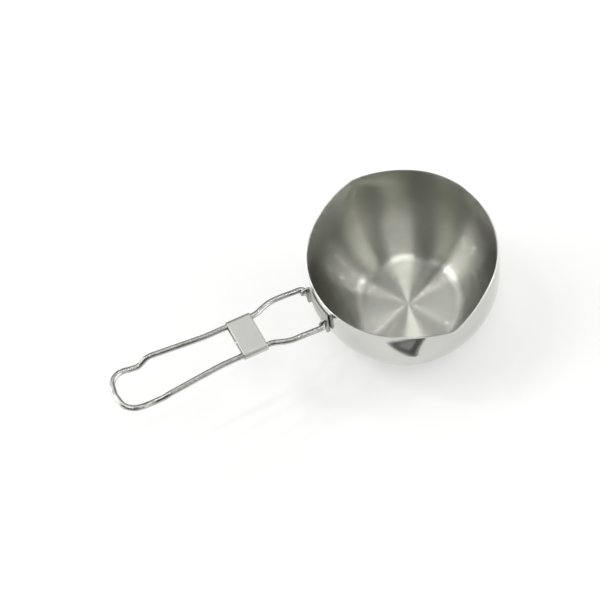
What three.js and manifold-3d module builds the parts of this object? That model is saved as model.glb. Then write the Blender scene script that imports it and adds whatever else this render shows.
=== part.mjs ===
// Candle melting pot: a small spun steel bowl with two pour spouts, and a long wire handle that folds.
// Millimetres, +Z up. The origin is the centre of the flat base, the handle runs along -X and the
// spouts point along +Y and -Y.
import * as THREE from 'three';
import { mergeVertices } from 'three/addons/utils/BufferGeometryUtils.js';
import Module from 'manifold-3d';

const wasm = await Module();
wasm.setup();

// ---- driving dimensions ----
const SHEET = 0.8; // steel sheet of the bowl
const RIM_R = 62.5; // outside radius at the rim
const RIM_Z = 78; // height of the rim above the base
const BELLY_R = 63.9; // outside radius of the round lower part
const BELLY_Z = 51.7; // height of its centre, where the straight wall begins
const BASE_FILLET = 12; // rounding between the flat base and the belly
const SPOUT_REACH = 4.4; // how far a spout's tip stands out of the rim circle
const SPOUT_DROP = 2.8; // how far the tip sits below the rim
const SPOUT_SPREAD = THREE.MathUtils.degToRad(33); // half the angle that a spout takes up
const SPOUT_DEPTH = 24; // how far down the wall a spout fades out
const SPOUT_BLUNT = 0.03; // radians over which a spout's tip is rounded off

const WIRE_R = 2; // handle wire
const PIVOT_R = 66.3; // from the bowl's axis to the handle's pivot
const PIVOT_Z = 66.1; // height of the pivot
const HANDLE_RISE = THREE.MathUtils.degToRad(9.6); // slope of the handle above level
const LEG_LIFT = 1.4; // how far the straight legs run above the pivot's own line

const LEG_WIDE = 16.2; // half the distance between the legs beside the bracket
const LEG_NARROW = 11.9; // the same under the clasp
const LEG_OUTER = 15.2; // the same where the legs reach the loop's waist
const WAIST = 13.9; // the same at the waist of the loop
const WAIST_DIP = 4; // how far the waist dips below the line of the legs
const LOOP_BULGE = 14.2; // half the width of the round end of the loop
const CORNER_R = 3.4; // bend between a leg and its inturned end

const U_LIFT = 9; // distances along the handle from the pivot: the legs lift off the pivot's line
const U_TAPER = 26; // the legs start to close in
const U_CLOSE = 40; // the legs are at their narrow spacing
const U_OPEN = 72; // the legs start to spread again
const U_WAIST_IN = 111; // the legs turn in to the waist
const U_WAIST = 120; // middle of the waist
const U_BULGE = 130; // the loop is at its widest
const U_TIP = 141.7; // wire centre at the tip of the loop

const EAR_SHEET = 1.1; // steel sheet of the bracket
const EAR_OUT = 13.6; // from the middle plane to the outer face of an ear
const EAR_HEAD = 3.7; // radius of an ear's round head about the pivot
const EAR_DROP = 15.5; // how far an ear's tail reaches below the pivot
const EAR_TAIL = 2.6; // how far the tail stands out of the wall
const EAR_ROOT = 6; // how far an ear's outline reaches into the wall before it is cut to it
const EAR_FOOT = 2; // corner at the foot of an ear
const EAR_NECK = 3; // length of the blend between an ear's head and its tail
const HOLE_GAP = 0.3; // running clearance of the wire in an ear
const WIRE_END = 1.6; // how far a wire end stands out of an ear's inner face
const WELD_GAP = 0.3; // weld film between the bracket and the bowl

const CLASP_LEN = 17;
const CLASP_AT = 49.5; // distance of the clasp's middle along the handle
const CLASP_SHEET = 0.8;
const CLASP_GAP = 0.3; // clearance between the clasp and the wires
const CLASP_SEAM = 1.4; // gap of the seam under the clasp

const BOWL_SEGMENTS = 72;
const WIRE_SIDES = 10;
const FILLET_STEPS = 4;
const BELLY_STEPS = 9;
const WALL_STEPS = 4;
const WIRE_STEPS = 120;
const ARC_HANDLE = 0.5523; // Bezier handle of a quarter circle of radius 1
const CUT_SIZE = 100; // more than the bracket's reach, for shapes that only cut
const CUT_OVER = 10; // how far a cutting shape stands over what it cuts

// ---- materials ----
const steel = (color, roughness) => new THREE.MeshStandardMaterial({ color, roughness, metalness: 1 });
const bowlSteel = steel(0xc4c5bd, 0.22);
const wireSteel = steel(0xc9c9c6, 0.25);
const stampedSteel = steel(0xbdbdb8, 0.35);

// ---- helpers ----
function named(name, geometry, material) {
  const mesh = new THREE.Mesh(geometry, material);
  mesh.name = name;
  return mesh;
}

function toSolid(geometry) {
  const plain = geometry.clone();
  plain.deleteAttribute('normal');
  plain.deleteAttribute('uv');
  const merged = mergeVertices(plain, 1e-4);
  const vertProperties = new Float32Array(merged.attributes.position.array);
  const triVerts = new Uint32Array(merged.index.array);
  return new wasm.Manifold(new wasm.Mesh({ numProp: 3, vertProperties, triVerts }));
}

function toGeometry(solid) {
  const mesh = solid.getMesh();
  const geometry = new THREE.BufferGeometry();
  geometry.setAttribute('position', new THREE.BufferAttribute(new Float32Array(mesh.vertProperties), 3));
  geometry.setIndex(new THREE.BufferAttribute(new Uint32Array(mesh.triVerts), 1));
  geometry.computeVertexNormals();
  return geometry;
}

// ---- bowl ----
// One wall of the bowl as a profile of radius and height, inset from the outside by the sheet.
function wallProfile(inset) {
  const belly = BELLY_R - inset;
  const fillet = BASE_FILLET - inset;
  const filletR = Math.sqrt((BELLY_R - BASE_FILLET) ** 2 - (BELLY_Z - BASE_FILLET) ** 2);
  const contact = Math.atan2(BELLY_Z - BASE_FILLET, filletR);
  const points = [new THREE.Vector2(0, inset)];
  for (let i = 0; i <= FILLET_STEPS; i += 1) {
    const a = -Math.PI / 2 + (Math.PI / 2 - contact) * (i / FILLET_STEPS);
    points.push(new THREE.Vector2(filletR + fillet * Math.cos(a), BASE_FILLET + fillet * Math.sin(a)));
  }
  for (let i = 1; i <= BELLY_STEPS; i += 1) {
    const a = -contact + contact * (i / BELLY_STEPS);
    points.push(new THREE.Vector2(belly * Math.cos(a), BELLY_Z + belly * Math.sin(a)));
  }
  for (let i = 1; i <= WALL_STEPS; i += 1) {
    const t = i / WALL_STEPS;
    const r = THREE.MathUtils.lerp(BELLY_R, RIM_R, t * t) - inset;
    points.push(new THREE.Vector2(r, THREE.MathUtils.lerp(BELLY_Z, RIM_Z, t)));
  }
  return points;
}

// Presses the two spouts into the top of the wall: both skins move out together and the rim dips.
function pressSpouts(geometry) {
  const position = geometry.attributes.position;
  for (let i = 0; i < position.count; i += 1) {
    const x = position.getX(i);
    const y = position.getY(i);
    const z = position.getZ(i);
    const fromSpout = Math.hypot(Math.atan2(x, Math.abs(y)), SPOUT_BLUNT) - SPOUT_BLUNT;
    const side = Math.max(0, 1 - fromSpout / SPOUT_SPREAD);
    const height = Math.max(0, 1 - (RIM_Z - z) / SPOUT_DEPTH);
    const press = side ** 1.8 * height ** 1.6;
    const radius = Math.hypot(x, y);
    const grow = radius > 1 ? 1 + (SPOUT_REACH * press) / radius : 1;
    position.setXYZ(i, x * grow, y * grow, z - SPOUT_DROP * press);
  }
}

function makeBowl() {
  const outside = wallProfile(0);
  const inside = wallProfile(SHEET).reverse();
  const geometry = new THREE.LatheGeometry([...outside, ...inside], BOWL_SEGMENTS);
  geometry.rotateX(Math.PI / 2);
  pressSpouts(geometry);
  return named('bowl', geometry, bowlSteel);
}

// ---- handle bracket ----
// Side outline of an ear: a round head about the pivot, and a narrow tail down the wall.
function earOutline() {
  const root = -BELLY_R + EAR_ROOT;
  const tail = -BELLY_R - EAR_TAIL;
  const bottom = PIVOT_Z - EAR_DROP;
  const shape = new THREE.Shape();
  shape.moveTo(root, PIVOT_Z + EAR_HEAD);
  shape.lineTo(-PIVOT_R, PIVOT_Z + EAR_HEAD);
  shape.absarc(-PIVOT_R, PIVOT_Z, EAR_HEAD, Math.PI / 2, Math.PI * 1.2, false);
  shape.quadraticCurveTo(tail, PIVOT_Z - EAR_HEAD, tail, PIVOT_Z - EAR_HEAD - EAR_NECK);
  shape.lineTo(tail, bottom + EAR_FOOT);
  shape.quadraticCurveTo(tail, bottom, tail + EAR_FOOT, bottom);
  shape.lineTo(root, bottom);
  shape.closePath();
  return shape;
}

// Extrudes an X-Z outline along Y between two values of y.
function extrudeAcross(shape, fromY, toY, curveSegments) {
  const options = { depth: toY - fromY, bevelEnabled: false, curveSegments };
  const geometry = new THREE.ExtrudeGeometry(shape, options);
  geometry.rotateX(Math.PI / 2);
  geometry.translate(0, toY, 0);
  return geometry;
}

// The bowl's outside as a solid with no hollow, grown by a margin, to cut the bracket to the wall.
function bowlEnvelope(margin) {
  const profile = wallProfile(-margin);
  profile.push(new THREE.Vector2(RIM_R + margin, RIM_Z + CUT_OVER));
  profile.push(new THREE.Vector2(0, RIM_Z + CUT_OVER));
  const geometry = new THREE.LatheGeometry(profile, BOWL_SEGMENTS);
  geometry.rotateX(Math.PI / 2);
  return toSolid(geometry);
}

function makeBracket() {
  const outline = earOutline();
  const block = toSolid(extrudeAcross(outline, -EAR_OUT, EAR_OUT, 6));
  const inner = new THREE.Shape();
  inner.moveTo(-CUT_SIZE, 0);
  inner.lineTo(0, 0);
  inner.lineTo(0, CUT_SIZE);
  inner.lineTo(-CUT_SIZE, CUT_SIZE);
  inner.closePath();
  const between = EAR_OUT - EAR_SHEET;
  const channel = toSolid(extrudeAcross(inner, -between, between, 1));
  const backPlate = bowlEnvelope(WELD_GAP + EAR_SHEET);
  const hole = new THREE.Shape();
  hole.absarc(-PIVOT_R, PIVOT_Z, WIRE_R + HOLE_GAP, 0, Math.PI * 2, false);
  const bore = toSolid(extrudeAcross(hole, -EAR_OUT - CUT_OVER, EAR_OUT + CUT_OVER, 10));
  const body = block.subtract(channel.subtract(backPlate)).subtract(bowlEnvelope(WELD_GAP)).subtract(bore);
  return named('handle_bracket', toGeometry(body), stampedSteel);
}

// ---- wire handle ----
// Centre line of the wire in the handle's own plane: u along the handle, v across it, w above it.
class HandleLine extends THREE.Curve {
  constructor() {
    super();
    this.half = this.halfLine();
  }

  halfLine() {
    const path = new THREE.CurvePath();
    const start = new THREE.Vector3(0, EAR_OUT - EAR_SHEET - WIRE_END, 0);
    const bendIn = new THREE.Vector3(0, LEG_WIDE - CORNER_R, 0);
    const bendInHandle = new THREE.Vector3(0, LEG_WIDE - CORNER_R * (1 - ARC_HANDLE), 0);
    const bendOutHandle = new THREE.Vector3(CORNER_R * (1 - ARC_HANDLE), LEG_WIDE, 0);
    const bendOut = new THREE.Vector3(CORNER_R, LEG_WIDE, 0);
    path.add(new THREE.LineCurve3(start, bendIn));
    path.add(new THREE.CubicBezierCurve3(bendIn, bendInHandle, bendOutHandle, bendOut));
    const at = (u, v, w = LEG_LIFT) => new THREE.Vector3(u, v, w);
    path.add(new THREE.CubicBezierCurve3(
      bendOut, at(U_LIFT, LEG_WIDE, 0), at(U_LIFT + 3, LEG_WIDE), at(U_TAPER - 5, LEG_WIDE),
    ));
    path.add(new THREE.CubicBezierCurve3(
      at(U_TAPER - 5, LEG_WIDE), at(U_TAPER + 4, LEG_WIDE),
      at(U_CLOSE - 6, LEG_NARROW), at(U_CLOSE, LEG_NARROW),
    ));
    path.add(new THREE.LineCurve3(at(U_CLOSE, LEG_NARROW), at(U_OPEN - 2, LEG_NARROW)));
    path.add(new THREE.QuadraticBezierCurve3(
      at(U_OPEN - 2, LEG_NARROW), at(U_OPEN + 2, LEG_NARROW), at(U_OPEN + 6, LEG_NARROW + 0.33),
    ));
    path.add(new THREE.LineCurve3(at(U_OPEN + 6, LEG_NARROW + 0.33), at(U_WAIST_IN, LEG_OUTER)));
    const dip = (share) => LEG_LIFT - WAIST_DIP * share;
    path.add(new THREE.CatmullRomCurve3([
      at(U_WAIST_IN, LEG_OUTER),
      at(U_WAIST_IN + 3, LEG_OUTER, dip(0.3)),
      at(U_WAIST, WAIST, dip(1)),
      at(U_WAIST + 5, WAIST + 0.1, dip(0.9)),
      at(U_BULGE, LOOP_BULGE, dip(0.6)),
      at(U_TIP - 7, LOOP_BULGE - 0.9, dip(0.4)),
      at(U_TIP - 2, 9, dip(0.25)),
      at(U_TIP, 0, dip(0.2)),
    ], false, 'centripetal'));
    return path;
  }

  getPoint(t, target = new THREE.Vector3()) {
    const mirrored = t > 0.5;
    const point = this.half.getPoint(mirrored ? 2 - 2 * t : 2 * t);
    const y = mirrored ? -point.y : point.y;
    const x = -(point.x * Math.cos(HANDLE_RISE) - point.z * Math.sin(HANDLE_RISE));
    const z = point.x * Math.sin(HANDLE_RISE) + point.z * Math.cos(HANDLE_RISE);
    return target.set(x, y, z);
  }
}

function circleShape(radius, sides) {
  const shape = new THREE.Shape();
  for (let i = 0; i < sides; i += 1) {
    const a = (i / sides) * Math.PI * 2;
    const x = radius * Math.cos(a);
    const y = radius * Math.sin(a);
    if (i === 0) shape.moveTo(x, y);
    else shape.lineTo(x, y);
  }
  shape.closePath();
  return shape;
}

function makeWireHandle() {
  const extrudePath = new HandleLine();
  const section = circleShape(WIRE_R, WIRE_SIDES);
  const options = { steps: WIRE_STEPS, extrudePath, bevelEnabled: false };
  const geometry = new THREE.ExtrudeGeometry(section, options);
  const mesh = named('wire_handle', geometry, wireSteel);
  mesh.position.set(-PIVOT_R, 0, PIVOT_Z);
  return mesh;
}

// ---- sliding clasp ----
// A flat tube round both legs, seen end on, with its seam open along the middle of the underside.
function claspSection() {
  const inside = WIRE_R + CLASP_GAP;
  const outside = inside + CLASP_SHEET;
  const seam = CLASP_SEAM / 2;
  const shape = new THREE.Shape();
  shape.moveTo(seam, -outside);
  shape.lineTo(LEG_NARROW, -outside);
  shape.absarc(LEG_NARROW, 0, outside, -Math.PI / 2, Math.PI / 2, false);
  shape.lineTo(-LEG_NARROW, outside);
  shape.absarc(-LEG_NARROW, 0, outside, Math.PI / 2, Math.PI * 1.5, false);
  shape.lineTo(-seam, -outside);
  shape.lineTo(-seam, -inside);
  shape.lineTo(-LEG_NARROW, -inside);
  shape.absarc(-LEG_NARROW, 0, inside, Math.PI * 1.5, Math.PI / 2, true);
  shape.lineTo(LEG_NARROW, inside);
  shape.absarc(LEG_NARROW, 0, inside, Math.PI / 2, -Math.PI / 2, true);
  shape.lineTo(seam, -inside);
  shape.closePath();
  return shape;
}

function makeClasp() {
  const options = { depth: CLASP_LEN, bevelEnabled: false, curveSegments: 8 };
  const geometry = new THREE.ExtrudeGeometry(claspSection(), options);
  geometry.translate(0, LEG_LIFT, CLASP_AT - CLASP_LEN / 2);
  // The section's x becomes Y, its y becomes Z and its depth runs along -X.
  geometry.applyMatrix4(new THREE.Matrix4().makeBasis(
    new THREE.Vector3(0, 1, 0), new THREE.Vector3(0, 0, 1), new THREE.Vector3(1, 0, 0),
  ));
  geometry.rotateZ(Math.PI);
  const mesh = named('sliding_clasp', geometry, stampedSteel);
  mesh.position.set(-PIVOT_R, 0, PIVOT_Z);
  mesh.rotation.y = HANDLE_RISE;
  return mesh;
}

const pot = new THREE.Group();
pot.add(makeBowl(), makeBracket(), makeWireHandle(), makeClasp());
export default pot;
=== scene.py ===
"""Candle melting pot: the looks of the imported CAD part, rebuilt piece by piece around its bodies.

Shapes are worked out in millimetres, in the frame of the CAD model, and turned into metres when a
mesh is made. Textures are in metres.
"""
import math

import bmesh
import bpy
import numpy as np
from mathutils import Matrix, Vector


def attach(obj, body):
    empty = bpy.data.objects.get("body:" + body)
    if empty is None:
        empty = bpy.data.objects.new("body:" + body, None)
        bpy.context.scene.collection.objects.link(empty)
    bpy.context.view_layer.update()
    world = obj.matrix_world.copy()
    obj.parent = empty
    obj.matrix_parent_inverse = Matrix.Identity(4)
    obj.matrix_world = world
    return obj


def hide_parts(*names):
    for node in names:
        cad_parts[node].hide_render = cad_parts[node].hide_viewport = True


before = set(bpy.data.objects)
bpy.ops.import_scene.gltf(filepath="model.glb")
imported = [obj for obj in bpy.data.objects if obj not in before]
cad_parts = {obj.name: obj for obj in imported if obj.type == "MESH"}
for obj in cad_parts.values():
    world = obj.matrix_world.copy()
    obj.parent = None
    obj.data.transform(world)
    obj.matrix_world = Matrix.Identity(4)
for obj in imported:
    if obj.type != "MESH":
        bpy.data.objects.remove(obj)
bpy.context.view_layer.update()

MM = 0.001

# ---- the part's driving dimensions, as in its CAD source ----
SHEET = 0.8
RIM_R = 62.5
RIM_Z = 78.0
BELLY_R = 63.9
BELLY_Z = 51.7
BASE_FILLET = 12.0
SPOUT_REACH = 4.4
SPOUT_DROP = 2.8
SPOUT_SPREAD = math.radians(33)
SPOUT_DEPTH = 24.0
SPOUT_BLUNT = 0.03

WIRE_R = 2.0
PIVOT_R = 66.3
PIVOT_Z = 66.1
HANDLE_RISE = math.radians(9.6)
LEG_LIFT = 1.4
LEG_WIDE = 16.2
LEG_NARROW = 11.9
LEG_OUTER = 15.2
WAIST = 13.9
WAIST_DIP = 4.0
LOOP_BULGE = 14.2
CORNER_R = 3.4
U_TAPER = 26.0
U_CLOSE = 40.0
U_OPEN = 72.0
U_WAIST_IN = 111.0
U_WAIST = 120.0
U_BULGE = 130.0
U_TIP = 141.7

EAR_SHEET = 1.1
EAR_OUT = 13.6
EAR_HEAD = 3.7
EAR_DROP = 15.5
EAR_TAIL = 2.6
HOLE_GAP = 0.3
WELD_GAP = 0.3

CLASP_LEN = 17.0
CLASP_AT = 49.5
CLASP_SHEET = 0.8
CLASP_GAP = 0.3
CLASP_SEAM = 1.4


# ---- mesh helpers ----
def make_mesh(name, points, faces, uvs=None):
    """A smooth mesh from points in millimetres, with optional texture places for each face corner."""
    mesh = bpy.data.meshes.new(name)
    mesh.from_pydata([tuple(p) for p in np.asarray(points) * MM], [], faces)
    if uvs is not None:
        layer = mesh.uv_layers.new(name="along")
        layer.data.foreach_set("uv", np.asarray(uvs, np.float32).ravel())
    mesh.validate()
    mesh.polygons.foreach_set("use_smooth", [True] * len(mesh.polygons))
    mesh.update()
    return mesh


def make_piece(name, mesh, body, node, slot, *materials):
    """A shown piece that stands for one CAD node and rides on its body."""
    obj = bpy.data.objects.new(name, mesh)
    bpy.context.scene.collection.objects.link(obj)
    for material in materials:
        mesh.materials.append(material)
    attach(obj, body)
    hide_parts(node)
    return obj


def apply_modifiers(obj):
    """Replaces the object's mesh with the result of its modifiers."""
    graph = bpy.context.evaluated_depsgraph_get()
    result = bpy.data.meshes.new_from_object(obj.evaluated_get(graph))
    obj.modifiers.clear()
    obj.data = result
    return obj


def lerp(a, b, t):
    return a + (b - a) * t


# ---- material helpers ----
class Nodes:
    """Builds one material's node tree with short calls."""

    def __init__(self, name):
        self.material = bpy.data.materials.new(name)
        self.material.use_nodes = True
        self.tree = self.material.node_tree
        self.shader = self.tree.nodes["Principled BSDF"]

    def put(self, socket, value):
        if isinstance(value, bpy.types.NodeSocket):
            self.tree.links.new(value, socket)
        else:
            socket.default_value = value

    def add(self, kind, inputs=(), **settings):
        made = self.tree.nodes.new(kind)
        for key, value in settings.items():
            setattr(made, key, value)
        for key, value in dict(inputs).items():
            self.put(made.inputs[key], value)
        return made

    def math(self, operation, a, b=0.0):
        return self.add("ShaderNodeMath", {0: a, 1: b}, operation=operation).outputs[0]

    def vector(self, operation, a, b=(0, 0, 0)):
        return self.add("ShaderNodeVectorMath", {0: a, 1: b}, operation=operation).outputs[0]

    def combine(self, x, y, z):
        return self.add("ShaderNodeCombineXYZ", {0: x, 1: y, 2: z}).outputs[0]

    def noise(self, place, scale, detail=2.0, roughness=0.5):
        inputs = {"Vector": place, "Scale": scale, "Detail": detail, "Roughness": roughness}
        return self.add("ShaderNodeTexNoise", inputs).outputs["Fac"]

    def spread(self, value, low, high, in_low=0.3, in_high=0.7):
        """Stretches the middle of a noise's range to run from low to high."""
        made = self.add("ShaderNodeMapRange", {0: value, 1: in_low, 2: in_high, 3: low, 4: high})
        return made.outputs[0]

    def tint(self, value, dark, light):
        made = self.add("ShaderNodeMix", data_type="RGBA")
        self.put(made.inputs[0], value)
        self.put(made.inputs[6], (*dark, 1))
        self.put(made.inputs[7], (*light, 1))
        return made.outputs[2]

    def bump(self, height, strength, distance, normal=None):
        made = self.add("ShaderNodeBump", {"Height": height, "Strength": strength, "Distance": distance})
        if normal is not None:
            self.put(made.inputs["Normal"], normal)
        return made.outputs["Normal"]

    def metal(self, colour, roughness, normal, anisotropy=0.0, turn=0.0, specular=0.5):
        s = self.shader.inputs
        s["Metallic"].default_value = 1.0
        self.put(s["Base Color"], colour)
        self.put(s["Roughness"], roughness)
        self.put(s["Normal"], normal)
        s["Anisotropic"].default_value = anisotropy
        s["Anisotropic Rotation"].default_value = turn
        s["Specular IOR Level"].default_value = specular
        return self.material


GROOVE_PITCH = 0.000002  # far below what a pixel shows, so that the grooves blend into a finish
GROOVE_TIP = 1.0  # slope of the steepest grooves
RING_PITCH = 0.0032
SCRATCH_PITCH = 0.0003
SCRATCH_LENGTH = 0.03


def turned_place(n, pitch, length=None):
    """Texture place for lines turned round the Z axis at a pitch in metres. With a length, in metres
    at the wall, the lines are short; without one they are whole circles."""
    place = n.add("ShaderNodeTexCoord").outputs["Object"]
    flat = n.vector("MULTIPLY", place, (1, 1, 0))
    radius = n.add("ShaderNodeVectorMath", {0: flat}, operation="LENGTH").outputs["Value"]
    height = n.add("ShaderNodeSeparateXYZ", {0: place}).outputs[2]
    lines = n.combine(0.0, 0.0, n.math("DIVIDE", n.math("ADD", radius, height), pitch))
    if length is None:
        return lines
    turn = BELLY_R * MM / length
    outward = n.vector("MULTIPLY", n.vector("NORMALIZE", flat), (turn, turn, 0))
    return n.vector("ADD", outward, lines)


def turned_grooves(n, pitch, steepest):
    """The surface normal, tipped up and down the section by a different amount on each turned groove.
    The tip is the cube of an even spread, so most grooves are shallow and a few are steep."""
    texture = n.add("ShaderNodeTexCoord")
    place, normal = texture.outputs["Object"], texture.outputs["Normal"]
    around = n.vector("NORMALIZE", n.vector("CROSS_PRODUCT", (0, 0, 1), place))
    along = n.vector("CROSS_PRODUCT", around, normal)
    groove = n.vector("FLOOR", turned_place(n, pitch))
    chance = n.add("ShaderNodeTexWhiteNoise", {"Vector": groove}).outputs["Value"]
    slope = n.math("SUBTRACT", n.math("MULTIPLY", chance, 2.0), 1.0)
    size = n.math("ABSOLUTE", slope)
    tip = n.math("MULTIPLY", n.math("MULTIPLY", slope, size), n.math("MULTIPLY", size, steepest))
    tipped = n.add("ShaderNodeVectorMath", {0: along, 3: tip}, operation="SCALE").outputs[0]
    turned = n.add(
        "ShaderNodeVectorTransform", {0: n.vector("ADD", normal, tipped)},
        vector_type="NORMAL", convert_from="OBJECT", convert_to="WORLD",
    )
    return n.vector("NORMALIZE", turned.outputs[0])


def brush_round(n):
    """Points the shader's brushing round the Z axis."""
    tangent = n.add("ShaderNodeTangent", direction_type="RADIAL", axis="Z").outputs[0]
    n.put(n.shader.inputs["Tangent"], tangent)


def brushed_inside():
    n = Nodes("steel_spun_inside")
    rings = n.noise(turned_place(n, RING_PITCH), 1.0, 2.0)
    cloud = n.noise(n.add("ShaderNodeTexCoord").outputs["Object"], 30.0, 2.0)
    mixed = n.math("ADD", n.math("MULTIPLY", rings, 0.55), n.math("MULTIPLY", cloud, 0.45))
    colour = n.tint(n.spread(mixed, 0, 1), (0.555, 0.560, 0.505), (0.600, 0.605, 0.550))
    normal = n.bump(cloud, 0.02, 0.00001, turned_grooves(n, GROOVE_PITCH, GROOVE_TIP))
    brush_round(n)
    return n.metal(colour, n.spread(mixed, 0.19, 0.21), normal, anisotropy=1.0, turn=0.25)


def polished_outside():
    n = Nodes("steel_polished_outside")
    place = n.add("ShaderNodeTexCoord").outputs["Object"]
    waves = n.noise(place, 34.0, 2.0)
    fine = n.noise(turned_place(n, SCRATCH_PITCH, SCRATCH_LENGTH), 1.0, 2.0, 0.6)
    colour = n.tint(n.spread(waves, 0, 1), (0.57, 0.575, 0.545), (0.615, 0.62, 0.59))
    normal = n.bump(fine, 0.05, 0.00003, n.bump(waves, 0.05, 0.002))
    brush_round(n)
    return n.metal(colour, n.spread(fine, 0.07, 0.13), normal, anisotropy=0.35, turn=0.25)


def rim_steel():
    n = Nodes("steel_rim_edge")
    place = n.add("ShaderNodeTexCoord").outputs["Object"]
    grain = n.noise(place, 1400.0, 2.0)
    colour = n.tint(n.spread(grain, 0, 1), (0.64, 0.64, 0.62), (0.72, 0.72, 0.70))
    return n.metal(colour, n.spread(grain, 0.16, 0.26), n.bump(grain, 0.12, 0.00004))


def drawn_wire():
    """Fine lines drawn out along the wire, from the texture places along and round it."""
    n = Nodes("steel_drawn_wire")
    uv = n.add("ShaderNodeUVMap", uv_map="along").outputs[0]
    parts = n.add("ShaderNodeSeparateXYZ", {0: uv})
    turn = n.math("MULTIPLY", parts.outputs[1], math.tau)
    ring = n.combine(n.math("COSINE", turn), n.math("SINE", turn), 0.0)
    along = n.combine(0.0, 0.0, n.math("MULTIPLY", parts.outputs[0], 60.0))
    lines = n.vector("ADD", n.vector("MULTIPLY", ring, (9, 9, 0)), along)
    fine = n.noise(lines, 1.0, 3.0, 0.6)
    place = n.add("ShaderNodeTexCoord").outputs["Object"]
    broad = n.noise(place, 160.0, 2.0)
    colour = n.tint(n.spread(broad, 0, 1), (0.46, 0.46, 0.44), (0.56, 0.56, 0.54))
    mixed = n.math("ADD", n.math("MULTIPLY", fine, 0.5), n.math("MULTIPLY", broad, 0.5))
    return n.metal(colour, n.spread(mixed, 0.20, 0.32), n.bump(fine, 0.15, 0.00005))


def stamped_sheet(name, grain_scale, dark, light, rough):
    """Satin stamped sheet whose grain is drawn out along one axis of the part."""
    n = Nodes(name)
    place = n.add("ShaderNodeTexCoord").outputs["Object"]
    grain = n.noise(n.vector("MULTIPLY", place, grain_scale), 1.0, 3.0, 0.6)
    cloud = n.noise(place, 120.0, 2.0)
    mixed = n.math("ADD", n.math("MULTIPLY", grain, 0.6), n.math("MULTIPLY", cloud, 0.4))
    colour = n.tint(n.spread(mixed, 0, 1), dark, light)
    return n.metal(colour, n.spread(mixed, rough, rough + 0.1), n.bump(grain, 0.16, 0.00005))


# ---- bowl ----
def wall_points(inset, fillet_steps, belly_steps, wall_steps, flat_steps):
    """Radius and height down one skin of the bowl, from the middle of the base to the straight wall's top."""
    belly = BELLY_R - inset
    fillet = BASE_FILLET - inset
    fillet_r = math.sqrt((BELLY_R - BASE_FILLET) ** 2 - (BELLY_Z - BASE_FILLET) ** 2)
    contact = math.atan2(BELLY_Z - BASE_FILLET, fillet_r)
    points = [(fillet_r * i / flat_steps, inset) for i in range(flat_steps)]
    for i in range(fillet_steps + 1):
        a = lerp(-math.pi / 2, -contact, i / fillet_steps)
        points.append((fillet_r + fillet * math.cos(a), BASE_FILLET + fillet * math.sin(a)))
    for i in range(1, belly_steps + 1):
        a = -contact + contact * i / belly_steps
        points.append((belly * math.cos(a), BELLY_Z + belly * math.sin(a)))
    top = (RIM_Z - SHEET / 2 - BELLY_Z) / (RIM_Z - BELLY_Z)
    for i in range(1, wall_steps + 1):
        t = top * i / wall_steps
        points.append((lerp(BELLY_R, RIM_R, t * t) - inset, lerp(BELLY_Z, RIM_Z, t)))
    return points


def press_spouts(points):
    """Moves both skins out and down where the two spouts are pressed into the top of the wall."""
    x, y, z = points.T
    from_spout = np.hypot(np.arctan2(x, np.abs(y)), SPOUT_BLUNT) - SPOUT_BLUNT
    side = np.clip(1 - from_spout / SPOUT_SPREAD, 0, None)
    height = np.clip(1 - (RIM_Z - z) / SPOUT_DEPTH, 0, None)
    press = side**1.8 * height**1.6
    radius = np.maximum(np.hypot(x, y), 1)
    grow = 1 + SPOUT_REACH * press / radius
    return np.stack([x * grow, y * grow, z - SPOUT_DROP * press], 1)


def bowl_mesh(turns=360, lip_steps=6):
    outside = wall_points(0, 8, 30, 30, 14)
    inside = wall_points(SHEET, 8, 30, 30, 14)
    lip_r = (outside[-1][0] + inside[-1][0]) / 2
    lip = []
    for i in range(1, lip_steps):
        a = math.pi * i / lip_steps
        lip.append((lip_r + SHEET / 2 * math.cos(a), outside[-1][1] + SHEET / 2 * math.sin(a)))
    section = outside[1:] + lip + inside[:0:-1]
    kinds = [0] * (len(outside) - 2) + [2] * lip_steps + [1] * (len(inside) - 2)
    angle = np.arange(turns) / turns * math.tau
    ring = np.stack([np.cos(angle), np.sin(angle)], 1)
    points = [(*(r * c), z) for r, z in section for c in ring]
    faces = []
    slots = []
    for i, kind in enumerate(kinds):
        for j in range(turns):
            k = (j + 1) % turns
            faces.append((i * turns + j, i * turns + k, (i + 1) * turns + k, (i + 1) * turns + j))
            slots.append(kind)
    under = len(points)
    points.append((0, 0, 0))
    floor = len(points)
    points.append((0, 0, SHEET))
    last = (len(section) - 1) * turns
    for j in range(turns):
        k = (j + 1) % turns
        faces.append((under, k, j))
        slots.append(0)
        faces.append((floor, last + j, last + k))
        slots.append(1)
    mesh = make_mesh("bowl_shell", press_spouts(np.array(points)), faces)
    mesh.polygons.foreach_set("material_index", slots)
    return mesh


# ---- handle wire ----
def bezier(points, steps):
    points = np.array(points, float)
    order = len(points) - 1
    t = np.linspace(0, 1, steps + 1)[:, None]
    return sum(math.comb(order, i) * (1 - t) ** (order - i) * t**i * p for i, p in enumerate(points))


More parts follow.
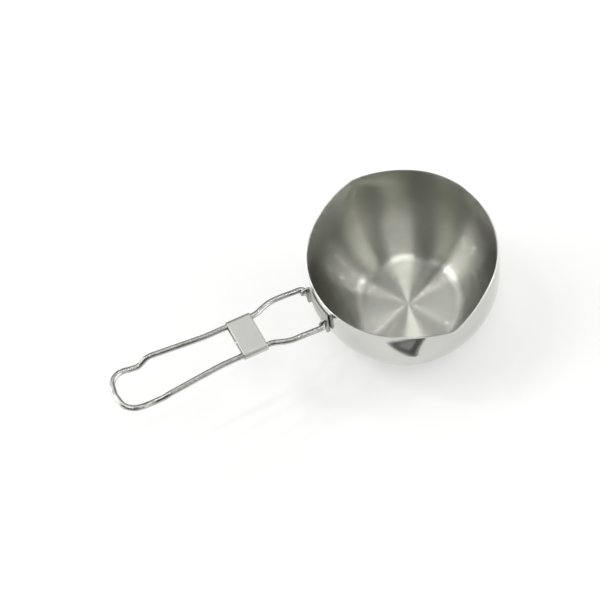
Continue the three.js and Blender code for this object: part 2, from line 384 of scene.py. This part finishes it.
def centripetal(points, steps):
    """Catmull-Rom curve through the points, with centripetal spacing and mirrored ends."""
    p = [np.array(q, float) for q in points]
    p = [2 * p[0] - p[1], *p, 2 * p[-1] - p[-2]]
    out = []
    for a, b, c, d in zip(p, p[1:], p[2:], p[3:]):
        ta = 0.0
        tb = ta + np.linalg.norm(b - a) ** 0.5
        tc = tb + np.linalg.norm(c - b) ** 0.5
        td = tc + np.linalg.norm(d - c) ** 0.5
        for t in np.linspace(tb, tc, steps + 1)[:-1]:
            ab = lerp(a, b, (t - ta) / (tb - ta))
            bc = lerp(b, c, (t - tb) / (tc - tb))
            cd = lerp(c, d, (t - tc) / (td - tc))
            abc = lerp(ab, bc, (t - ta) / (tc - ta))
            bcd = lerp(bc, cd, (t - tb) / (td - tb))
            out.append(lerp(abc, bcd, (t - tb) / (tc - tb)))
    return np.array([*out, p[-2]])


def half_line():
    """Centre line of one leg in the handle's own plane: along it, across it and above it."""
    lift = LEG_LIFT
    start = (0, EAR_OUT - EAR_SHEET - 1.6, 0)
    bend_in = (0, LEG_WIDE - CORNER_R, 0)
    hook = CORNER_R * (1 - 0.5523)
    bend = [bend_in, (0, LEG_WIDE - hook, 0), (hook, LEG_WIDE, 0), (CORNER_R, LEG_WIDE, 0)]
    rise = [bend[-1], (9, LEG_WIDE, 0), (U_TAPER - 14, LEG_WIDE, lift), (U_TAPER - 5, LEG_WIDE, lift)]
    close_to = (U_CLOSE, LEG_NARROW, lift)
    close = [rise[-1], (U_TAPER + 4, LEG_WIDE, lift), (U_CLOSE - 6, LEG_NARROW, lift), close_to]
    spread_to = (U_OPEN + 6, LEG_NARROW + 0.33, lift)
    spread = [(U_OPEN - 2, LEG_NARROW, lift), (U_OPEN + 2, LEG_NARROW, lift), spread_to]

    def dip(share):
        return lift - WAIST_DIP * share

    loop = [
        (U_WAIST_IN, LEG_OUTER, lift),
        (U_WAIST_IN + 3, LEG_OUTER, dip(0.3)),
        (U_WAIST, WAIST, dip(1)),
        (U_WAIST + 5, WAIST + 0.1, dip(0.9)),
        (U_BULGE, LOOP_BULGE, dip(0.6)),
        (U_TIP - 7, LOOP_BULGE - 0.9, dip(0.4)),
        (U_TIP - 2, 9, dip(0.25)),
        (U_TIP, 0, dip(0.2)),
    ]
    runs = [
        bezier([start, bend_in], 4),
        bezier(bend, 12),
        bezier(rise, 24),
        bezier(close, 30),
        bezier([close[-1], spread[0]], 30),
        bezier(spread, 10),
        bezier([spread_to, loop[0]], 34),
        centripetal(loop, 12),
    ]
    return np.concatenate([run[:-1] for run in runs] + [runs[-1][-1:]])


def handle_to_frame(points):
    """From the handle's own plane to the row frame, in millimetres."""
    u, v, w = np.asarray(points, float).T
    c, s = math.cos(HANDLE_RISE), math.sin(HANDLE_RISE)
    return np.stack([-PIVOT_R - (u * c - w * s), v, PIVOT_Z + u * s + w * c], 1)


def tube(line, radius, sides, end_steps=((0.0, 0.55), (0.12, 0.8), (0.4, 0.96), (0.8, 1.0))):
    """A round wire along a line, its cut ends rounded off, with texture places along and round it."""
    line = np.array(line)
    lengths = np.r_[0, np.cumsum(np.linalg.norm(np.diff(line, axis=0), axis=1))]
    total = lengths[-1]
    places = [(d, k) for d, k in end_steps]
    inner = np.arange(1.3, total - 1.2, 0.55)
    stations = places + [(d, 1.0) for d in inner] + [(total - d, k) for d, k in reversed(end_steps)]
    at = np.array([s[0] for s in stations])
    centre = np.stack([np.interp(at, lengths, line[:, i]) for i in range(3)], 1)
    ahead = np.gradient(centre, at, axis=0)
    ahead /= np.linalg.norm(ahead, axis=1, keepdims=True)
    side = np.cross(ahead[0], (0, 0, 1.0))
    points = []
    for c, d, (_, k) in zip(centre, ahead, stations):
        side = side - d * (side @ d)
        side = side / np.linalg.norm(side)
        up = np.cross(d, side)
        for j in range(sides):
            a = math.tau * j / sides
            points.append(c + radius * k * (side * math.cos(a) + up * math.sin(a)))
    faces = []
    uvs = []
    for i in range(len(stations) - 1):
        for j in range(sides):
            k = (j + 1) % sides
            faces.append((i * sides + j, i * sides + k, (i + 1) * sides + k, (i + 1) * sides + j))
            low, high = at[i] * MM, at[i + 1] * MM
            uvs += [(low, j / sides), (low, (j + 1) / sides), (high, (j + 1) / sides), (high, j / sides)]
    for first, centre_at, flip in ((0, centre[0], True), ((len(stations) - 1) * sides, centre[-1], False)):
        middle = len(points)
        points.append(centre_at)
        for j in range(sides):
            k = (j + 1) % sides
            faces.append((middle, first + k, first + j) if flip else (middle, first + j, first + k))
            uvs += [(0.0, 0.0), (0.0, 0.0), (0.0, 0.0)]
    return points, faces, uvs


# ---- clasp ----
def clasp_loop(trim, steps=14):
    """Section of the clasp as two matched rows of points, outer and inner, from seam edge to seam edge."""
    outside = WIRE_R + CLASP_GAP + CLASP_SHEET - trim
    inside = WIRE_R + CLASP_GAP + trim
    seam = CLASP_SEAM / 2 + trim
    rows = []
    for reach in (outside, inside):
        row = [(lerp(seam, LEG_NARROW, i / 8), -reach) for i in range(8)]
        row += [
            (LEG_NARROW + reach * math.cos(a), reach * math.sin(a))
            for a in np.linspace(-math.pi / 2, math.pi / 2, steps + 1)
        ]
        row += [(lerp(LEG_NARROW, -LEG_NARROW, i / 18), reach) for i in range(1, 18)]
        row += [
            (-LEG_NARROW + reach * math.cos(a), reach * math.sin(a))
            for a in np.linspace(math.pi / 2, math.pi * 1.5, steps + 1)
        ]
        row += [(lerp(-LEG_NARROW, -seam, i / 8), -reach) for i in range(1, 9)]
        rows.append(np.array(row))
    return rows


def clasp_mesh():
    """Flat tube round both legs, its faces slightly dished between them and its sheet edges rounded."""
    ends = ((0.0, 0.26), (0.06, 0.12), (0.2, 0.03), (0.42, 0.0))
    middle = [(d, 0.0) for d in np.linspace(1.2, CLASP_LEN - 1.2, 16)]
    stations = [*ends, *middle, *((CLASP_LEN - d, k) for d, k in reversed(ends))]
    loops = []
    for d, trim in stations:
        outer, inner = clasp_loop(trim)
        loop = np.concatenate([outer, inner[::-1]])
        share = np.clip(1 - (loop[:, 0] / (LEG_NARROW - 1.5)) ** 2, 0, None)
        loop[:, 1] -= np.sign(loop[:, 1]) * 0.22 * share**1.5
        u = np.full(len(loop), CLASP_AT - CLASP_LEN / 2 + d)
        loops.append(np.stack([u, loop[:, 0], LEG_LIFT + loop[:, 1]], 1))
    count = len(loops[0])
    faces = []
    for i in range(len(loops) - 1):
        for j in range(count):
            k = (j + 1) % count
            faces.append((i * count + j, (i + 1) * count + j, (i + 1) * count + k, i * count + k))
    half = count // 2
    last = (len(loops) - 1) * count
    for j in range(half - 1):
        k = count - 1 - j
        faces.append((j, j + 1, k - 1, k))
        faces.append((last + j, last + k, last + k - 1, last + j + 1))
    return make_mesh("clasp", handle_to_frame(np.concatenate(loops)), faces)


# ---- bracket ----
def wall_radius(z):
    """Outside radius of the bowl at a height on or above its belly."""
    t = max(0.0, (z - BELLY_Z) / (RIM_Z - BELLY_Z))
    return lerp(BELLY_R, RIM_R, t * t)


def ear_outline():
    """Edge of an ear from its top down to its tail, as rows of x and z."""
    tail = -BELLY_R - EAR_TAIL
    bottom = PIVOT_Z - EAR_DROP
    head = [
        (-PIVOT_R + EAR_HEAD * math.cos(a), PIVOT_Z + EAR_HEAD * math.sin(a))
        for a in np.linspace(math.pi / 2, math.pi * 1.2, 19)
    ]
    neck = bezier([head[-1], (tail, PIVOT_Z - EAR_HEAD), (tail, PIVOT_Z - EAR_HEAD - 3)], 8)
    shank = bezier([neck[-1], (tail, bottom + 2)], 12)
    foot = bezier([(tail, bottom + 2), (tail, bottom + 0.4), (tail + 1.4, bottom)], 6)
    return np.concatenate([head, neck[1:], shank[1:], foot[1:]])


def bracket_mesh():
    """Middle surface of the U-shaped bracket: two ears joined by a plate that follows the wall."""
    rows = ear_outline()
    ear_y = EAR_OUT - EAR_SHEET / 2
    fold = 1.3
    points = []
    columns = 0
    for x_edge, z in rows:
        reach = wall_radius(z) + WELD_GAP + EAR_SHEET / 2
        row = []
        x_root = -math.sqrt(reach**2 - (ear_y - fold) ** 2)
        for t in np.linspace(0, 1, 9)[:-1]:
            row.append((lerp(x_edge, x_root - fold, t), ear_y))
        for a in np.linspace(0, math.pi / 2, 7)[:-1]:
            row.append((x_root - fold * (1 - math.sin(a)), ear_y - fold * (1 - math.cos(a))))
        for y in np.linspace(ear_y - fold, 0, 20):
            dimple = 0.35 * math.exp(-(((abs(y) - 6) ** 2 + (z - PIVOT_Z + 6.6) ** 2) / 2.2) ** 2)
            row.append((-math.sqrt((reach - dimple) ** 2 - y**2), y))
        full = row + [(x, -y) for x, y in row[-2::-1]]
        columns = len(full)
        points += [(x, y, z) for x, y in full]
    faces = []
    for i in range(len(rows) - 1):
        for j in range(columns - 1):
            a = i * columns + j
            faces.append((a, a + 1, a + columns + 1, a + columns))
    return make_mesh("bracket", points, faces)


def drill(obj):
    """Cuts the two holes for the ends of the wire and rounds the sheet's edges."""
    thick = obj.modifiers.new("sheet", "SOLIDIFY")
    thick.thickness = EAR_SHEET * MM
    thick.offset = 0.0
    drill_mesh = bpy.data.meshes.new("drill")
    cutter = bmesh.new()
    turn = Matrix.Translation(Vector((-PIVOT_R, 0, PIVOT_Z)) * MM) @ Matrix.Rotation(math.pi / 2, 4, "X")
    bore = (WIRE_R + HOLE_GAP) * MM
    bmesh.ops.create_cone(
        cutter, cap_ends=True, segments=40, radius1=bore, radius2=bore,
        depth=2.4 * EAR_OUT * MM, matrix=turn,
    )
    cutter.to_mesh(drill_mesh)
    cutter.free()
    tool = bpy.data.objects.new("drill", drill_mesh)
    bpy.context.scene.collection.objects.link(tool)
    cut = obj.modifiers.new("holes", "BOOLEAN")
    cut.operation = "DIFFERENCE"
    cut.object = tool
    cut.solver = "EXACT"
    edge = obj.modifiers.new("edges", "BEVEL")
    edge.width = 0.16 * MM
    edge.segments = 2
    edge.limit_method = "ANGLE"
    edge.angle_limit = math.radians(50)
    apply_modifiers(obj)
    bpy.data.objects.remove(tool)
    obj.data.polygons.foreach_set("use_smooth", [True] * len(obj.data.polygons))
    obj.data.set_sharp_from_angle(angle=math.radians(50))
    return obj


# ---- pieces ----
make_piece(
    "bowl_shell", bowl_mesh(), "pot", "bowl", "bowl_steel",
    polished_outside(), brushed_inside(), rim_steel(),
)

leg = half_line()
mirrored = leg[-2::-1] * (1, -1, 1)
wire_points, wire_faces, wire_uvs = tube(handle_to_frame(np.concatenate([leg, mirrored])), WIRE_R, 24)
wire_mesh = make_mesh("handle_wire", wire_points, wire_faces, wire_uvs)
make_piece("handle_wire", wire_mesh, "handle", "wire_handle", "wire_steel", drawn_wire())

make_piece(
    "clasp_sleeve", clasp_mesh(), "clasp", "sliding_clasp", "clasp_steel",
    stamped_sheet("steel_satin_clasp", (90, 1500, 1500), (0.56, 0.56, 0.53), (0.62, 0.62, 0.59), 0.32),
)

bracket = make_piece(
    "bracket_ears", bracket_mesh(), "pot", "handle_bracket", "bracket_steel",
    stamped_sheet("steel_satin_bracket", (1300, 1300, 110), (0.34, 0.34, 0.32), (0.46, 0.46, 0.44), 0.24),
)
drill(bracket)


# ---- floor, light and camera ----
def plain(name, colour, strength=None, roughness=0.6):
    made = bpy.data.materials.new(name)
    made.use_nodes = True
    shader = made.node_tree.nodes["Principled BSDF"]
    shader.inputs["Base Color"].default_value = (*colour, 1)
    shader.inputs["Roughness"].default_value = roughness
    if strength is not None:
        shader.inputs["Emission Color"].default_value = (*colour, 1)
        shader.inputs["Emission Strength"].default_value = strength
    return made


def panel(name, corners, strength, card=False):
    """A flat light given by its corners, or a dark card that only reflections see. The camera sees
    neither."""
    mesh = bpy.data.meshes.new(name)
    mesh.from_pydata([tuple(c) for c in corners], [], [tuple(range(len(corners)))])
    obj = bpy.data.objects.new(name, mesh)
    bpy.context.scene.collection.objects.link(obj)
    made = bpy.data.materials.new(name)
    made.use_nodes = True
    tree = made.node_tree
    tree.nodes.clear()
    glow = tree.nodes.new("ShaderNodeEmission")
    glow.inputs[1].default_value = strength
    out = tree.nodes.new("ShaderNodeOutputMaterial")
    tree.links.new(glow.outputs[0], out.inputs[0])
    mesh.materials.append(made)
    obj.visible_camera = False
    if card:
        obj.visible_shadow = False
        obj.visible_diffuse = False
    return obj


FACING = math.radians(67)  # level direction in which the camera looks, from +X
TENT_R = 3.0
LAMP_R = 2.4
LAMP_SIZE = 1.0  # degrees across


def tent_point(azimuth, elevation, radius=TENT_R):
    """A point of the light tent: azimuth in degrees to the left of where the camera looks."""
    a = FACING + math.radians(azimuth)
    e = math.radians(elevation)
    return Vector((math.cos(a) * math.cos(e), math.sin(a) * math.cos(e), math.sin(e))) * radius


def tent_light(name, azimuth, elevation, width, height, strength, radius=TENT_R):
    """A softbox of the tent, sized in degrees, facing the pot."""
    half_w = width / 2
    half_h = height / 2
    corners = [
        tent_point(azimuth + x * half_w, elevation + y * half_h, radius)
        for x, y in ((-1, -1), (1, -1), (1, 1), (-1, 1))
    ]
    return panel(name, corners, strength)


def tent_lamp(name, azimuth, elevation, strength):
    """A small bare lamp inside the tent that draws a thin line on turned metal."""
    width = LAMP_SIZE / math.cos(math.radians(elevation))
    return tent_light(name, azimuth, elevation, width, LAMP_SIZE, strength, LAMP_R)


def ceiling_light(name, near, far, right_edge, left_edge, strength, height=2.2):
    """A softbox overhead, its edges given as slopes: metres out for each metre up."""
    forward = Vector((math.cos(FACING), math.sin(FACING), 0))
    left = Vector((-math.sin(FACING), math.cos(FACING), 0))
    corners = [
        (forward * x + left * y + Vector((0, 0, 1))) * height
        for x, y in ((near, right_edge), (far, right_edge), (far, left_edge), (near, left_edge))
    ]
    return panel(name, corners, strength)


scene = bpy.context.scene
world = bpy.data.worlds.new("studio")
scene.world = world
world.use_nodes = True
world.node_tree.nodes["Background"].inputs[0].default_value = (1, 1, 1, 1)
world.node_tree.nodes["Background"].inputs[1].default_value = 0.15

floor_mesh = bpy.data.meshes.new("floor")
floor_mesh.from_pydata([(-4, -4, 0), (4, -4, 0), (4, 4, 0), (-4, 4, 0)], [], [(0, 1, 2, 3)])
floor = bpy.data.objects.new("floor", floor_mesh)
scene.collection.objects.link(floor)
floor_mesh.materials.append(plain("floor_white", (0.80, 0.80, 0.79), 0.40))

ceiling_light("ceiling_near", -0.46, -0.16, -0.16, 0.16, 3.6)
ceiling_light("ceiling_middle", -0.16, 0.16, -0.13, 0.10, 2.0)
ceiling_light("ceiling_far", 0.16, 0.42, -0.07, 0.08, 2.6)
tent_light("high_left", 90, 70, 22, 8, 3.2)
tent_light("high_right", -54, 70, 18, 8, 2.0)
tent_light("upper_left", 24, 61, 34, 10, 1.7)
tent_light("upper_right", -34, 61, 56, 10, 1.0)
tent_light("upper_left_side", 62, 61, 36, 10, 2.4)
tent_light("upper_right_side", -112, 61, 26, 10, 1.5)
tent_light("middle_left", 10, 50, 24, 12, 2.0)
tent_light("middle_left_side", 42, 50, 40, 12, 1.1)
tent_light("middle_right", -17, 50, 18, 12, 2.0)
tent_light("left_side", 83, 45, 32, 22, 3.0)
tent_light("right_side", -90, 44, 30, 22, 1.9)
tent_light("right_side_rear", -130, 38, 20, 12, 2.0)
tent_light("right_front", -27, 38, 22, 12, 1.0)
tent_light("left_low", 78, 8, 60, 14, 4.6)
tent_light("left_low_rear", 124, 6, 32, 10, 3.2)
tent_light("right_low", -98, 9, 64, 16, 4.6)
tent_lamp("lamp_left_upper", 68, 65, 300.0)
tent_lamp("lamp_left_lower", 70, 56, 300.0)
tent_lamp("lamp_right_upper", -68, 65, 230.0)
tent_lamp("lamp_right_lower", -70, 56, 230.0)

CARD_MIDDLE = (-52, -90)
CARD_EDGE = ((-33, -77), (-29, -104), (-40, -105), (-52, -102), (-64, -96), (-73, -88), (-78, -77))


def floor_card(name, scale, height, strength):
    """A grey card lying on the floor, for the polished front wall to reflect."""
    x, y = CARD_MIDDLE
    corners = [((x + (a - x) * scale) * MM, (y + (b - y) * scale) * MM, height * MM) for a, b in CARD_EDGE]
    return panel(name, corners, strength, card=True)


floor_card("card_edge", 1.0, 0.4, 0.34)
floor_card("card_ring", 0.84, 0.6, 0.10)
floor_card("card_middle", 0.42, 0.8, 0.30)

CAMERA_PLACE = Vector((-162.23, -380.47, 821.01)) * MM
CAMERA_AIM = Vector((-72.33, 8.56, 68.3)) * MM
CAMERA_ROLL = math.radians(-16.824)

camera_data = bpy.data.cameras.new("camera")
camera_data.lens = 78.0
camera_data.sensor_width = 36.0
camera = bpy.data.objects.new("camera", camera_data)
scene.collection.objects.link(camera)
ahead = (CAMERA_AIM - CAMERA_PLACE).normalized()
level = ahead.cross(Vector((0, 0, 1))).normalized()
raised = level.cross(ahead)
right = math.cos(CAMERA_ROLL) * level + math.sin(CAMERA_ROLL) * raised
up = right.cross(ahead)
camera.matrix_world = Matrix.Translation(CAMERA_PLACE) @ Matrix((right, up, -ahead)).transposed().to_4x4()
scene.camera = camera
scene.view_settings.view_transform = "Standard"
